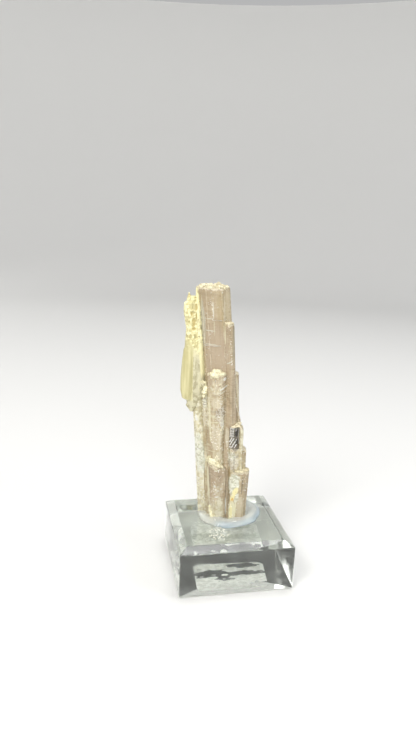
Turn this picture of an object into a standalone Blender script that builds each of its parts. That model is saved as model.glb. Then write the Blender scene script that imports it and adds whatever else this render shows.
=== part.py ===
"""A cluster of tourmaline crystals standing in clear putty on a square acrylic base.

Metres, +Z up. The origin is the middle of the base, on the surface that it stands on, and
-Y is the base's front. The crystals are described along two axes of their own: "across" runs
to the right along the cluster's broad front, and "deep" runs from that front to its back.
Heights in the cluster start at the base's top face, called the deck.
"""

import math

import bmesh
import bpy
from mathutils import Matrix, Vector, noise

MM = 0.001
GAP = 0.3 * MM  # left between two pieces that touch

BASE_SIDE = 31.75 * MM
BASE_WALL = 12.3 * MM  # height of the upright sides
BEVEL_IN = 2.4 * MM
BEVEL_RISE = 1.4 * MM

LABEL_WIDE = 19.8 * MM
LABEL_LONG = 19.8 * MM
LABEL_THICK = 0.2 * MM
LABEL_CORNER = 2.4 * MM
LABEL_AT = (0.1 * MM, -2.7 * MM)
LABEL_TURN = math.radians(-3.5)

BASE_BOTTOM = LABEL_THICK + GAP
DECK = BASE_BOTTOM + BASE_WALL + BEVEL_RISE

CLUSTER_TURN = math.radians(-13.6)  # the cluster's front is not square to the base's front

# The putty and the cluster are worked out in millimetres, and scaled when they are placed.
GAP_MM = GAP / MM
PUTTY_AT = (0.4, 3.8)  # across, deep
PUTTY_RADII = (9.2, 9.4)
PUTTY_HEIGHT = 1.4
PUTTY_FLOOR = 0.35  # what is left of it under the crystals
PUTTY_WAVE = 0.03
PUTTY_SIDES = 40
PUTTY_RINGS = 7
SOCKET_TOP = 4.0  # how far up the shape reaches that hollows the putty

CLUSTER_FOOT = GAP_MM + PUTTY_FLOOR + GAP_MM  # above the deck
PRISM_FACES = 12
UNEVEN = 0.075  # how far a prism face may lie from its even place
FOOT_SHARE = 0.9  # a crystal's width at its foot over its width at its tip
LUMP_UNEVEN = 0.14

# Each crystal: where its foot and its tip are (across, deep), the height of the tip, half its
# width and half its depth, and how steeply the tip is cut to the right and to the back.
CRYSTALS = {
    "tall": ((0.3, 2.6), (-6.15, 2.4), 66.6, (4.45, 4.0), (0.0, 0.02)),
    "right_rib": ((2.0, 0.2), (-1.6, 0.0), 57.6, (1.5, 1.7), (-0.1, 0.1)),
    "right_back": ((2.4, 3.2), (0.1, 3.0), 43.4, (1.6, 2.0), (0.0, 0.0)),
    "right_slant": ((2.2, 2.2), (1.4, 2.0), 34.5, (1.6, 1.5), (-3.4, 0.0)),
    "gem": ((1.9, 0.7), (1.5, 0.2), 28.6, (2.25, 2.2), (-0.12, 0.32)),
    "right_step": ((3.2, 1.6), (3.0, 1.4), 22.2, (1.8, 2.4), (-0.35, 0.0)),
    "right_foot": ((2.5, 0.1), (2.85, 0.0), 15.8, (3.15, 2.5), (0.0, 0.05)),
    "centre": ((-3.6, 0.4), (-4.55, -0.5), 44.2, (2.4, 2.2), (0.05, 0.15)),
    "centre_foot": ((-2.8, -0.4), (-3.6, -0.9), 16.9, (2.5, 2.2), (-0.25, 0.35)),
    "left_inner": ((-5.4, 1.8), (-7.3, 1.0), 39.2, (1.25, 1.7), (0.1, 0.1)),
    "left_foot": ((-6.6, 2.8), (-8.8, 2.2), 29.4, (1.55, 1.9), (0.25, 0.1)),
    "left_grey": ((-7.0, 3.4), (-10.0, 2.2), 47.6, (1.55, 2.2), (0.2, 0.1)),
    "back_tall": ((-0.8, 5.4), (-4.9, 6.2), 53.5, (2.4, 2.0), (0.1, -0.15)),
    "back_left": ((-4.6, 5.4), (-8.4, 6.2), 40.5, (1.9, 1.8), (0.1, -0.1)),
    "back_right": ((3.0, 4.8), (1.5, 5.6), 25.2, (1.9, 1.9), (-0.1, -0.2)),
    "back_low": ((0.4, 6.4), (0.0, 7.4), 17.5, (2.0, 1.6), (0.0, -0.2)),
    "back_stub": ((-3.4, 6.4), (-4.3, 7.4), 11.2, (1.8, 1.5), (0.15, -0.1)),
    "back_corner": ((-6.2, 5.0), (-7.6, 5.8), 20.4, (1.5, 1.5), (0.2, -0.1)),
}

# The pale crystal that clings to the left side of the tall one, from its broken lower end up:
# height, how far its left and right sides reach, and half its depth.
CRUST_SIDE_DEEP = 1.7
CRUST_SIDE_SIDES = 10
CRUST_SIDE = [
    (31.6, -11.3, -10.2, 0.6),
    (33.4, -12.7, -9.6, 1.2),
    (35.4, -12.4, -9.2, 1.7),
    (36.4, -13.3, -9.0, 2.0),
    (39.6, -13.6, -8.6, 2.2),
    (42.6, -13.9, -8.2, 2.4),
    (48.0, -13.7, -8.3, 2.5),
    (50.2, -13.5, -8.6, 2.5),
    (53.6, -13.3, -8.8, 2.4),
    (55.4, -13.1, -9.0, 2.3),
    (60.0, -13.9, -9.4, 2.3),
    (62.4, -13.9, -9.7, 2.0),
    (63.0, -12.9, -9.9, 1.6),
    (64.9, -12.6, -11.6, 0.9),
]

# Crumbly lumps of crust that sit on the crystals: middle (across, deep, height) and radii.
CRUST_LUMPS = [
    ((-6.1, 2.4, 66.7), (4.2, 3.7, 0.75)),
    ((-5.1, 2.0, 67.4), (0.9, 0.9, 1.2)),
    ((-1.5, -0.1, 57.8), (1.3, 1.4, 0.5)),
    ((-4.5, -0.7, 43.4), (2.35, 2.3, 1.6)),
    ((-3.9, -1.5, 18.3), (1.9, 1.4, 1.2)),
    ((-7.3, 0.6, 39.2), (1.2, 1.4, 2.2)),
    ((2.9, -0.2, 15.6), (3.0, 2.4, 0.6)),
    ((-8.9, 2.2, 28.8), (1.4, 1.5, 1.3)),
]


def clear_scene():
    for thing in list(bpy.data.objects):
        bpy.data.objects.remove(thing, do_unlink=True)


def material(name, colour, roughness, metallic=0.0, clearness=0.0, ior=1.5):
    made = bpy.data.materials.new(name)
    made.use_nodes = True
    shader = made.node_tree.nodes["Principled BSDF"]
    shader.inputs["Base Color"].default_value = (*colour, 1.0)
    shader.inputs["Roughness"].default_value = roughness
    shader.inputs["Metallic"].default_value = metallic
    shader.inputs["Transmission Weight"].default_value = clearness
    shader.inputs["IOR"].default_value = ior
    made.diffuse_color = (*colour, 1.0)
    return made


def object_from(shape, name, finish=None):
    mesh = bpy.data.meshes.new(name)
    shape.to_mesh(mesh)
    shape.free()
    if finish is not None:
        mesh.materials.append(finish)
    thing = bpy.data.objects.new(name, mesh)
    bpy.context.scene.collection.objects.link(thing)
    return thing


def with_boolean(target, cutter, operation):
    """The target's mesh becomes the result, and the cutter is removed."""
    step = target.modifiers.new(operation.lower(), "BOOLEAN")
    step.operation = operation
    step.solver = "EXACT"
    step.object = cutter
    depsgraph = bpy.context.evaluated_depsgraph_get()
    result = bpy.data.meshes.new_from_object(target.evaluated_get(depsgraph))
    target.modifiers.clear()
    target.data = result
    bpy.data.objects.remove(cutter, do_unlink=True)


def cut_outline(outline, outward, reach):
    """The outline without what lies further than reach along outward."""
    kept = []
    for here, after in zip(outline, outline[1:] + outline[:1]):
        beyond, beyond_after = here.dot(outward) - reach, after.dot(outward) - reach
        if beyond <= 0:
            kept.append(here)
        if beyond * beyond_after < 0:
            kept.append(here.lerp(after, beyond / (beyond - beyond_after)))
    return kept


def prism_outline(order, half):
    """Twelve faces that touch an ellipse, all but the outermost two a little uneven."""
    room = 3.0 * max(half)
    outline = [Vector(corner) * room for corner in ((1, 1), (-1, 1), (-1, -1), (1, -1))]
    for number in range(PRISM_FACES):
        angle = math.tau * number / PRISM_FACES
        outward = Vector((math.cos(angle), math.sin(angle)))
        reach = math.hypot(half[0] * outward.x, half[1] * outward.y)
        if number % (PRISM_FACES // 2):
            reach *= 1 + UNEVEN * math.sin(2.7 * number + 1.9 * order)
        outline = cut_outline(outline, outward, reach)
    return outline


def crystal(order, foot, tip, height, half, cut, foot_height=CLUSTER_FOOT, foot_share=FOOT_SHARE):
    """One leaning prism from its outline, a little slimmer at the foot, its tip cut aslant."""
    outline = prism_outline(order, half)
    shape = bmesh.new()
    below, above = [], []
    for spot in outline:
        below.append(shape.verts.new((*(spot * foot_share + Vector(foot)), foot_height)))
        above.append(shape.verts.new((*(spot + Vector(tip)), height + spot.dot(Vector(cut)))))
    for number in range(len(outline)):
        after = (number + 1) % len(outline)
        shape.faces.new((below[number], below[after], above[after], above[number]))
    shape.faces.new(reversed(below))
    shape.faces.new(above)
    bmesh.ops.triangulate(shape, faces=shape.faces)
    return shape


def lump(order, middle, radii):
    """A ball pressed to its radii, its surface uneven by a seventh."""
    shape = bmesh.new()
    bmesh.ops.create_icosphere(shape, subdivisions=2, radius=1.0)
    for vertex in shape.verts:
        outward = vertex.co.copy()
        swell = 1 + LUMP_UNEVEN * noise.noise(outward * 2.3 + Vector((7.1 * order, 0, 0)))
        vertex.co = Vector(middle) + Vector(a * b * swell for a, b in zip(outward, radii))
    return shape


def stack_rings(rings):
    """A closed shape with each ring of points joined to the next, and both ends filled."""
    shape = bmesh.new()
    rings = [[shape.verts.new(spot) for spot in ring] for ring in rings]
    for low, high in zip(rings, rings[1:]):
        for number in range(len(low)):
            after = (number + 1) % len(low)
            shape.faces.new((low[number], low[after], high[after], high[number]))
    shape.faces.new(reversed(rings[0]))
    shape.faces.new(rings[-1])
    return shape


def crust_side():
    """The crusted side crystal: uneven rings through its listed widths."""
    rings = []
    for height, left, right, half_deep in CRUST_SIDE:
        middle, half = (left + right) / 2, (right - left) / 2
        ring = []
        for number in range(CRUST_SIDE_SIDES):
            angle = math.tau * number / CRUST_SIDE_SIDES
            uneven = 1 + 0.08 * math.sin(5.3 * number + 1.7 * height)
            widest = number % (CRUST_SIDE_SIDES // 2) == 0
            across = middle + half * math.cos(angle) * (1 if widest else uneven)
            ring.append((across, CRUST_SIDE_DEEP + half_deep * math.sin(angle) * uneven, height))
        rings.append(ring)
    return stack_rings(rings)


def put_on_deck(thing):
    """Turns millimetres along the cluster's own axes into metres on the base."""
    onto = Matrix.Translation((0, 0, DECK)) @ Matrix.Rotation(CLUSTER_TURN, 4, "Z")
    thing.data.transform(Matrix.Scale(MM, 4))
    thing.matrix_world = onto


def united(pieces):
    """The first piece, joined with all the others into one solid."""
    whole = pieces[0]
    for piece in pieces[1:]:
        with_boolean(whole, piece, "UNION")
    return whole


def build_cluster():
    pieces = [
        object_from(crystal(order, *sizes), f"crystal_{name}")
        for order, (name, sizes) in enumerate(CRYSTALS.items())
    ]
    pieces.append(object_from(crust_side(), "crust_side"))
    pieces += [
        object_from(lump(order, middle, radii), f"crust_{order}")
        for order, (middle, radii) in enumerate(CRUST_LUMPS)
    ]
    cluster = united(pieces)
    cluster.name = "tourmaline_cluster"
    cluster.data.materials.clear()
    cluster.data.materials.append(material("tourmaline", (0.62, 0.5, 0.36), 0.3, ior=1.63))
    put_on_deck(cluster)


def socket():
    """What the putty is hollowed by: the cluster's foot, a gap wider all round."""
    pieces = []
    for order, (foot, tip, height, half, _) in enumerate(CRYSTALS.values()):
        share = (SOCKET_TOP - CLUSTER_FOOT) / (height - CLUSTER_FOOT)
        there = Vector(foot).lerp(Vector(tip), share)
        grown = [side * (FOOT_SHARE + (1 - FOOT_SHARE) * share) + GAP_MM for side in half]
        shape = crystal(order, foot, there, SOCKET_TOP, grown, (0, 0), GAP_MM + PUTTY_FLOOR, 1.0)
        pieces.append(object_from(shape, f"socket_{order}"))
    return united(pieces)


def build_putty():
    """A round puddle with a thick rounded rim, wavy all round, hollowed for the crystals."""
    half_height = PUTTY_HEIGHT / 2
    rings = []
    for step in range(PUTTY_RINGS):
        slope = math.radians(-90 + 180 * step / (PUTTY_RINGS - 1))
        inward = half_height * (1 - math.cos(slope))
        height = GAP_MM + half_height * (1 + math.sin(slope))
        ring = []
        for number in range(PUTTY_SIDES):
            angle = math.tau * number / PUTTY_SIDES
            wave = 1 + PUTTY_WAVE * (math.sin(3 * angle + 0.8) + 0.5 * math.sin(7 * angle))
            across = PUTTY_AT[0] + (PUTTY_RADII[0] * wave - inward) * math.cos(angle)
            deep = PUTTY_AT[1] + (PUTTY_RADII[1] * wave - inward) * math.sin(angle)
            ring.append((across, deep, height))
        rings.append(ring)
    putty = object_from(stack_rings(rings), "mounting_putty")
    with_boolean(putty, socket(), "DIFFERENCE")
    putty.data.materials.clear()
    putty.data.materials.append(material("clear_putty", (0.72, 0.76, 0.76), 0.25))
    putty.data.shade_smooth()
    putty.data.set_sharp_from_angle(angle=math.radians(40))
    put_on_deck(putty)


def build_base():
    shape = bmesh.new()
    bmesh.ops.create_cube(shape, size=1.0)
    bmesh.ops.scale(shape, vec=(BASE_SIDE, BASE_SIDE, BASE_WALL), verts=shape.verts)
    top = [face for face in shape.faces if face.normal.z > 0.5]
    bmesh.ops.inset_individual(shape, faces=top, thickness=BEVEL_IN, depth=BEVEL_RISE)
    finish = material("clear_acrylic", (0.9, 0.93, 0.9), 0.05, clearness=1.0, ior=1.49)
    base = object_from(shape, "acrylic_base", finish)
    base.location.z = BASE_BOTTOM + BASE_WALL / 2


def build_label():
    """A blank label with round corners, stuck under the base."""
    shape = bmesh.new()
    bmesh.ops.create_cube(shape, size=1.0)
    bmesh.ops.scale(shape, vec=(LABEL_WIDE, LABEL_LONG, LABEL_THICK), verts=shape.verts)
    upright = [edge for edge in shape.edges if edge.verts[0].co.xy == edge.verts[1].co.xy]
    bmesh.ops.bevel(
        shape, geom=upright, offset=LABEL_CORNER, segments=5, profile=0.5, affect="EDGES"
    )
    label = object_from(shape, "base_label", material("white_label", (0.85, 0.86, 0.83), 0.5))
    label.location = (*LABEL_AT, LABEL_THICK / 2)
    label.rotation_euler.z = LABEL_TURN


clear_scene()
build_base()
build_label()
build_putty()
build_cluster()
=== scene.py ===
import functools
import itertools
import math

import bpy
import numpy as np
from mathutils import Euler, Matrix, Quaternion, Vector
from mathutils.bvhtree import BVHTree


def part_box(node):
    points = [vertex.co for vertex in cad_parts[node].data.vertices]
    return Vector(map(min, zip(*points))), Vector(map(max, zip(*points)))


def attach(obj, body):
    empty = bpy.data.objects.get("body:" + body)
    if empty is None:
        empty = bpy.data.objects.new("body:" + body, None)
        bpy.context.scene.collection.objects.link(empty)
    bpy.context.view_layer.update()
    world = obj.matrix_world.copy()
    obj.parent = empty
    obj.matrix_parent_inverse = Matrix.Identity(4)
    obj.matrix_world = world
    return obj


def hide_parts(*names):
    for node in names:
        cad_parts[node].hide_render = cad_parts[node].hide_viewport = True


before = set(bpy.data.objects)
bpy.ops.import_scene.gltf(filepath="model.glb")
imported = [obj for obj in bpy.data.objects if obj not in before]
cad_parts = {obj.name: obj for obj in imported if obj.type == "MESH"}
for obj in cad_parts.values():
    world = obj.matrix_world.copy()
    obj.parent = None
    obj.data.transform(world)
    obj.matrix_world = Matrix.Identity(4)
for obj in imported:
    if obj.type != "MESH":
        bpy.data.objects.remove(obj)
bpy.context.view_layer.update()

mm = 0.001
baseLow, baseHigh = (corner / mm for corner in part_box("acrylic_base"))
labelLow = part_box("base_label")[0] / mm
deck = baseHigh.z                                # top face of the base, millimetres
clusterTurn = math.radians(-13.6)                # the cluster's broad front against the base's
colourOf = {
    "blush": (0.53, 0.425, 0.305),
    "blushDeep": (0.39, 0.30, 0.20),
    "honey": (0.57, 0.48, 0.28),
    "honeyDeep": (0.39, 0.30, 0.14),
    "sand": (0.70, 0.63, 0.47),
    "wheat": (0.68, 0.58, 0.38),
    "cream": (0.80, 0.77, 0.54),
    "milk": (0.80, 0.81, 0.67),
    "pearl": (0.56, 0.54, 0.44),
    "white": (0.92, 0.93, 0.86),
    "straw": (0.95, 0.88, 0.47),
    "rust": (0.78, 0.45, 0.10),
    "umber": (0.22, 0.17, 0.10),
    # olive: painted shade on the rib's right side
    "shadeOlive": (0.30, 0.28, 0.18),
}


# Arrays

def latticeValue(cell, seed):
    # an even random number for each whole-number cell: its indices and the seed are mixed by
    # multiplying with large odd numbers and folding the high bits back onto the low ones
    mixed = (cell[..., 0] * 73856093) ^ (cell[..., 1] * 19349663) ^ (cell[..., 2] * 83492791)
    mixed = (mixed + seed * 1013904223) & 0x7FFFFFFF
    for factor in (0x45D9F3B, 0x119DE1F3):
        mixed = ((mixed ^ (mixed >> 15)) * factor) & 0x7FFFFFFF
    return ((mixed ^ (mixed >> 13)) & 0xFFFFF) / 0xFFFFF


def smoothStep(low, high, value):
    # 0 below low, 1 above high, and 3s^2 - 2s^3 of the share s between them
    share = np.clip((value - low) / (high - low), 0, 1)
    return share * share * (3 - 2 * share)


def smoothNoise(points, size, seed, octaves=1):
    # from -1 to 1: the lattice values at a cell's eight corners, blended with smooth steps along
    # each side; each further octave is half the size and height
    total, height, reach = 0.0, 1.0, 0.0
    for octave in range(octaves):
        place = np.asarray(points, float) / (size / 2 ** octave)
        low = np.floor(place).astype(np.int64)
        share = smoothStep(0, 1, place - low)
        value = 0.0
        for corner in itertools.product((0, 1), repeat=3):
            weight = np.prod(np.where(corner, share, 1 - share), axis=-1)
            value = value + weight * latticeValue(low + corner, seed + 31 * octave)
        total = total + height * (2 * value - 1)
        reach += height
        height /= 2
    return total / reach


def anglesRound(count):
    return np.linspace(0, math.tau, count, endpoint=False)


def circleAt(angle):
    return np.stack([np.cos(angle), np.sin(angle)], -1)


def turned(points, angle, lift):
    # turned about the upright axis by the angle, and lifted
    x, y, z = np.moveaxis(np.asarray(points, float), -1, 0)
    cosine, sine = math.cos(angle), math.sin(angle)
    return np.stack([x * cosine - y * sine, x * sine + y * cosine, z + lift], -1)


def ontoBase(points):
    # from the cluster's own axes: across, deep, and up from the deck
    return turned(points, clusterTurn, deck)


def offBase(points):
    return turned(points, -clusterTurn, -deck)


def metresOf(spot):
    return tuple(float(value) * mm for value in ontoBase(spot))


def evenSteps(outline, count):
    # a closed outline's columns at even steps of its length, and the length at each step
    closed = np.concatenate([outline, outline[:1]])
    walked = np.concatenate([[0], np.cumsum(np.linalg.norm(np.diff(closed[:, :2], axis=0), axis=1))])
    wanted = np.linspace(0, walked[-1], count + 1)
    return np.stack([np.interp(wanted, walked, column) for column in closed.T], -1), wanted


# Meshes, from millimetres

def arrayMesh(points, corners, sizes):
    mesh = bpy.data.meshes.new("mesh")
    mesh.vertices.add(len(points))
    mesh.vertices.foreach_set("co", (points * mm).astype(np.float32).ravel())
    mesh.loops.add(len(corners))
    mesh.loops.foreach_set("vertex_index", corners.astype(np.int32).ravel())
    mesh.polygons.add(len(sizes))
    starts = np.concatenate([[0], np.cumsum(sizes)[:-1]])
    mesh.polygons.foreach_set("loop_start", starts.astype(np.int32))
    mesh.update(calc_edges=True)
    return mesh


def ringMesh(grid, maps=None, openTop=False):
    # rings of points, lowest first and counterclockwise, joined ring to ring; the first and, but
    # for an open top, the last ring are each one point, a pole. A map is a pair of values that
    # spread over the grid and one more column, which closes the ring
    rows, columns = grid.shape[:2]
    row, column = np.meshgrid(np.arange(rows - 1), np.arange(columns), indexing="ij")
    corners = np.stack([np.stack([row, row, row + 1, row + 1], -1),
                        np.stack([column, column + 1, column + 1, column], -1)], -1)
    parts = [corners[0][:, (0, 2, 3)], corners[1:-1].reshape(-1, 4, 2),
             corners[-1] if openTop else corners[-1][:, (0, 1, 2)]]
    flat = np.concatenate([part.reshape(-1, 2) for part in parts])
    sizes = np.concatenate([np.full(len(part), part.shape[1]) for part in parts])
    pole = (flat[:, 0] == 0) | (flat[:, 0] == rows - 1) & (not openTop)
    index = flat[:, 0] * columns + np.where(pole, 0, flat[:, 1] % columns)
    used, index = np.unique(index, return_inverse=True)
    mesh = arrayMesh(grid.reshape(-1, 3)[used], index, sizes)
    for name, pair in (maps or {}).items():
        values = np.stack([np.broadcast_to(part, (rows, columns + 1)) for part in pair], -1)
        layer = mesh.uv_layers.new(name=name)
        layer.data.foreach_set("uv", values[flat[:, 0], flat[:, 1]].astype(np.float32).ravel())
    return mesh


def ballMesh(middle, radii, rows, columns, swell=None, turn=(0, 0, 0)):
    # a ball of latitude rings pressed to its radii; swell gives each direction's own share more
    rise = np.linspace(-math.pi / 2, math.pi / 2, rows)[:, None]
    angle = anglesRound(columns)[None, :]
    outward = np.stack([np.cos(rise) * np.cos(angle), np.cos(rise) * np.sin(angle),
                        np.sin(rise) * np.ones_like(angle)], -1)
    share = 1 if swell is None else 1 + swell(outward)[..., None]
    pressed = (outward * share * np.asarray(radii)) @ np.array(Euler(turn).to_matrix()).T
    return ringMesh(ontoBase(pressed + np.asarray(middle)))


def blocky(outward, power=5):
    # what a ball lacks to a cube with round edges, whose radius is (|x|^p + |y|^p + |z|^p)^(-1/p)
    return (np.abs(outward) ** power).sum(axis=-1) ** (-1 / power) - 1


def readAll(items, name, kind=np.int32, width=1):
    values = np.empty(len(items) * width, kind)
    items.foreach_get(name, values)
    return values.reshape(-1, width) if width > 1 else values


def joinedMesh(meshes):
    # one mesh that holds the points and faces of all of them, still as separate bodies
    points, corners, sizes, before = [], [], [], 0
    for mesh in meshes:
        points.append(readAll(mesh.vertices, "co", np.float32, 3) / mm)
        corners.append(readAll(mesh.loops, "vertex_index") + before)
        sizes.append(readAll(mesh.polygons, "loop_total"))
        before += len(mesh.vertices)
        bpy.data.meshes.remove(mesh)
    return arrayMesh(*(np.concatenate(part) for part in (points, corners, sizes)))


def addObject(name, data):
    thing = bpy.data.objects.new(name, data)
    bpy.context.scene.collection.objects.link(thing)
    return thing


def addPiece(name, mesh, material, sharpAngle=None):
    mesh.name = name
    mesh.materials.clear()
    mesh.materials.append(material)
    mesh.polygons.foreach_set("use_smooth", [True] * len(mesh.polygons))
    if sharpAngle is not None:
        mesh.set_sharp_from_angle(angle=math.radians(sharpAngle))
    return addObject(name, mesh)


def showPiece(name, mesh, material, sharpAngle=None, node="tourmaline_cluster"):
    piece = addPiece(name, mesh, material, sharpAngle)
    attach(piece, "root")
    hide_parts(node)
    print(name, "faces:", len(mesh.polygons))


def finishedMesh(piece):
    # the mesh as its modifiers leave it; the piece itself goes
    mesh = bpy.data.meshes.new_from_object(piece.evaluated_get(bpy.context.evaluated_depsgraph_get()))
    bpy.data.objects.remove(piece, do_unlink=True)
    return mesh


# Shader nodes

def fillInputs(node, inputs):
    # plain values, or sockets that are linked, by the input's name or number; colours are opaque
    for key, value in inputs.items():
        socket = node.inputs[key]
        if isinstance(value, bpy.types.NodeSocket):
            node.id_data.links.new(value, socket)
        else:
            socket.default_value = (*value, 1) if socket.type == "RGBA" else value


def addNode(kind, inputs, tree=None, **properties):
    # in the given tree, or else in that of the first socket among the inputs
    sockets = (value for value in inputs.values() if isinstance(value, bpy.types.NodeSocket))
    tree = tree or next(sockets).id_data
    node = tree.nodes.new("ShaderNode" + kind)
    for name, value in properties.items():
        setattr(node, name, value)
    fillInputs(node, inputs)
    return node


def calculate(operation, *values, clamp=False):
    return addNode("Math", dict(enumerate(values)), operation=operation, use_clamp=clamp).outputs[0]


plus, minus, times, larger = (functools.partial(calculate, operation) for operation in
                              ("ADD", "SUBTRACT", "MULTIPLY", "MAXIMUM"))


def ramp(value, low, high, lowest=0.0, highest=1.0):
    inputs = {"Value": value, "From Min": low, "From Max": high, "To Min": lowest, "To Max": highest}
    return addNode("MapRange", inputs, interpolation_type="SMOOTHSTEP").outputs[0]


def blend(share, first, second):
    return addNode("Mix", {0: share, 6: first, 7: second}, data_type="RGBA").outputs[2]


def noiseAt(vector, scales, detail=2.0, roughness=0.5):
    scaled = addNode("VectorMath", {0: vector, 1: scales}, operation="MULTIPLY").outputs[0]
    inputs = {"Vector": scaled, "Scale": 1.0, "Detail": detail, "Roughness": roughness}
    return addNode("TexNoise", inputs).outputs[0]


def partsOf(vector):
    return addNode("SeparateXYZ", {0: vector}).outputs


def mapOf(shader, name):
    return addNode("UVMap", {}, shader.id_data, uv_map=name).outputs[0]


def newMaterial(name, settings):
    # a Principled shader and absorption with the settings' values; the last is the object's place
    material = bpy.data.materials.new(name)
    material.use_nodes = True
    nodes = material.node_tree.nodes
    shader = nodes["Principled BSDF"]
    fillInputs(shader, settings["shader"])
    if "absorption" in settings:
        inputs = dict(zip(("Color", "Density"), settings["absorption"]))
        absorb = addNode("VolumeAbsorption", inputs, material.node_tree)
        fillInputs(nodes["Material Output"], {"Volume": absorb.outputs[0]})
    return material, shader, addNode("TexCoord", {}, material.node_tree).outputs["Object"]


def addBump(shader, height, distance):
    bump = addNode("Bump", {"Height": height, "Distance": distance, "Strength": 1.0})
    fillInputs(shader, {"Normal": bump.outputs[0]})


groups = {}


def newGroup(name, inputs, build):
    # inputs are the sockets' names by their kind; build adds the nodes and returns the outputs
    group = bpy.data.node_groups.new(name, "ShaderNodeTree")
    for kind, names in inputs.items():
        for socketName in names.split():
            group.interface.new_socket(socketName, in_out="INPUT", socket_type="NodeSocket" + kind)
    outputs = build(group.nodes.new("NodeGroupInput").outputs)
    for socketName, socket in outputs.items():
        kind = "Color" if socket.type == "RGBA" else "Float"
        group.interface.new_socket(socketName, in_out="OUTPUT", socket_type="NodeSocket" + kind)
    fillInputs(group.nodes.new("NodeGroupOutput"), outputs)
    groups[name] = group


def useGroup(name, inputs):
    return addNode("Group", inputs, node_tree=groups[name]).outputs


def growthNodes(given):
    # growth lines along a crystal, bands across it and clouds inside it
    place = given["Around"]
    cloud = noiseAt(place, (2.6, 1.1, 1), 4, 0.6)
    streak = noiseAt(place, (13, 0.5, 1), 3, 0.65)
    fineStreak = noiseAt(place, (36, 1.6, 1))
    band = noiseAt(place, (2.2, 11, 1), 3, 0.7)
    fineBand = noiseAt(place, (5, 30, 1), 2, 0.6)
    lines = plus(minus(streak, 0.5), times(minus(fineStreak, 0.5), 0.8))
    crossing = plus(minus(band, 0.5), times(minus(fineBand, 0.5), 0.9))
    total = plus(cloud, plus(times(lines, given["Streaks"]), times(crossing, given["Bands"])))
    plain = blend(ramp(total, 0.28, 0.72), given["Deep"], given["Light"])
    hair = ramp(noiseAt(place, (25, 0.4, 1)), 0.6, 0.68)
    rung = noiseAt(place, (1.2, 16, 1), 3, 0.6)
    strong = times(ramp(noiseAt(place, (4, 3, 1)), 0.36, 0.55), given["Lined"])
    dim = times(ramp(rung, 0.42, 0.34), strong)
    dimmed = blend(times(dim, 0.5), plain, (0.16, 0.13, 0.08))
    bright = larger(times(hair, 0.25), times(ramp(rung, 0.55, 0.66), strong))
    return {"Colour": blend(times(bright, 0.8), dimmed, given["Glint"]),
            "Height": plus(times(streak, 0.6), fineStreak), "Cloud": cloud}


def fleckNodes(given):
    # painted glints and painted shade: white specks, and small dark specks of shaded hollows, gathered
    # where a broader noise is high
    place = given["Place"]
    fine = noiseAt(place, (1500, 1500, 2100), 2, 0.6)
    gathered = times(given["Amount"], ramp(noiseAt(place, (330, 330, 150)), 0.42, 0.62))
    hollow = times(times(ramp(fine, 0.40, 0.32), gathered), 0.7)
    dark = blend(hollow, given["Under"], given["Hollow"])
    return {"Colour": blend(times(ramp(fine, 0.62, 0.70), gathered), dark, given["Glint"])}


def rimNodes(given):
    # a crumbly rim that thins out away from the tip, and along the edges a pale line that is partly worn
    # and partly painted highlight
    below, edge = partsOf(given["Wear"])[:2]
    ragged = noiseAt(given["Place"], (900, 900, 900), 3, 0.6)
    raggedEdge = noiseAt(given["Place"], (1500, 1500, 420), 3, 0.7)
    tipMask = ramp(plus(minus(given["Reach"], below), times(minus(ragged, 0.5), 0.28)), 0.0, 0.05)
    mask = larger(tipMask, times(ramp(plus(edge, raggedEdge), 1.12, 1.4), given["Edges"]))
    return {"Colour": blend(mask, given["Under"], given["Crust"]), "Mask": mask}


def patchNodes(given):
    # an uneven patch of another colour, an ellipsoid about a middle
    apart = addNode("VectorMath", {0: given["Place"], 1: given["Middle"]}, operation="SUBTRACT").outputs[0]
    straight = addNode("VectorRotate", {"Vector": apart, "Rotation": given["Turn"]},
                       rotation_type="EULER_XYZ").outputs[0]
    scaled = addNode("VectorMath", {0: straight, 1: given["Radii"]}, operation="DIVIDE").outputs[0]
    away = addNode("VectorMath", {0: scaled}, operation="LENGTH").outputs["Value"]
    away = plus(away, times(minus(given["Rough"], 0.5), given["Ragged"]))
    mask = times(ramp(away, 1.1, 0.8), given["Amount"])
    return {"Colour": blend(mask, given["Under"], given["Over"])}


def grainNodes(given):
    # sugary grains: bright and dull cells a few tenths of a millimetre wide
    scale = calculate("DIVIDE", 1.0, given["Size"])
    cells = addNode("TexVoronoi", {"Vector": given["Place"], "Scale": scale}).outputs
    fine = addNode("TexNoise", {"Vector": given["Place"], "Scale": times(scale, 0.45), "Detail": 4.0,
                                "Roughness": 0.65}).outputs[0]
    tint = addNode("SeparateColor", {0: cells["Color"]}).outputs[0]
    share = ramp(plus(fine, times(minus(tint, 0.5), 0.5)), 0.34, 0.64)
    return {"Colour": blend(share, given["Dark"], given["Light"]),
            "Height": minus(fine, times(cells["Distance"], 0.7))}


def handlingNodes(given):
    # hairline scratches and settled dust on a polished face
    place = given["Place"]
    haze = noiseAt(place, (110, 110, 110), 4, 0.6)
    hair = noiseAt(place, (260, 2600, 260), 2, 0.6)
    hairOther = noiseAt(place, (2400, 330, 300), 2, 0.6)
    lines = larger(ramp(hair, 0.66, 0.72), ramp(hairOther, 0.67, 0.73))
    share = calculate("ADD", ramp(haze, 0.4, 0.75), lines, clamp=True)
    return {"Roughness": ramp(share, 0.0, 1.0, given["Polished"], given["Dull"]), "Height": lines}


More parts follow.
